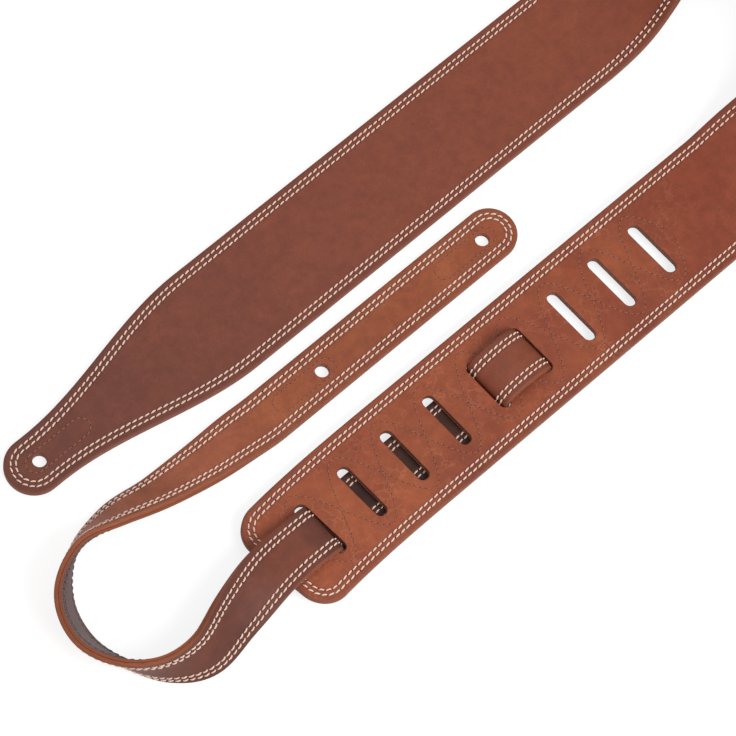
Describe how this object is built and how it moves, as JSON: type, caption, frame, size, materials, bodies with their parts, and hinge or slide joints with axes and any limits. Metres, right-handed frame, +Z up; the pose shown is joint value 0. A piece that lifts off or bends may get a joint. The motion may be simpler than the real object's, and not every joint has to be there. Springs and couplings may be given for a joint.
{
  "type": "guitar strap",
  "caption": "Wide leather guitar strap with a tapered button-hole end, a slotted end, and a narrow sewn tail threaded through the slots for length.",
  "frame": {"origin": "on the table, on the axis of the button hole in the tapered end", "axes": "+X along the strap from the tapered end, +Y across it, +Z up from the table, out of the front face"},
  "size_m": [0.5453, 0.1804, 0.0648],
  "materials": {
    "strap_leather": "waxed reddish brown full-grain leather, satin",
    "tail_leather": "waxed orange-brown full-grain leather, satin",
    "backing_leather": "grey-brown suede side",
    "hole_patch": "thin firm leather, unfinished",
    "cream_thread": "waxed cream thread",
    "brown_thread": "waxed brown thread"
  },
  "bodies": {
    "strap": {"upper_front": "strap_leather", "upper_backing": "backing_leather", "upper_stitches": "cream_thread", "turn_front": "strap_leather", "turn_backing": "backing_leather", "turn_stitches": "cream_thread", "ladder_front": "strap_leather", "ladder_backing": "backing_leather", "ladder_stitches": "cream_thread", "ladder_slot_stitches": "brown_thread", "threaded_tail_front": "tail_leather", "threaded_tail_backing": "backing_leather", "threaded_tail_stitches": "cream_thread", "loop_front": "tail_leather", "loop_backing": "backing_leather", "loop_stitches": "cream_thread"},
    "taper_end": {"taper_front": "strap_leather", "taper_backing": "backing_leather", "taper_hole_patch": "hole_patch", "taper_stitches": "cream_thread", "taper_patch_stitches": "brown_thread"},
    "tail_run": {"tail_front": "tail_leather", "tail_backing": "backing_leather", "tail_stitches": "cream_thread", "tail_hole_patch": "hole_patch", "tail_patch_stitches": "brown_thread"},
    "tail_tip": {"tip_front": "tail_leather", "tip_backing": "backing_leather", "tip_stitches": "cream_thread", "tip_hole_patch": "hole_patch", "tip_patch_stitches": "brown_thread"}
  },
  "joints": [
    {"name": "taper_end_lift", "type": "hinge", "parent": "strap", "child": "taper_end", "pos_m": [0.132, 0, 0.004], "axis": [0, 1, 0], "range_deg": [0, 75]},
    {"name": "tail_run_lift", "type": "hinge", "parent": "strap", "child": "tail_run", "pos_m": [0.10015, -0.055, 0.004], "axis": [0, -1, 0], "range_deg": [0, 60]},
    {"name": "tail_tip_lift", "type": "hinge", "parent": "tail_run", "child": "tail_tip", "pos_m": [0.1915, -0.055, 0.004], "axis": [0, -1, 0], "range_deg": [0, 75]}
  ]
}
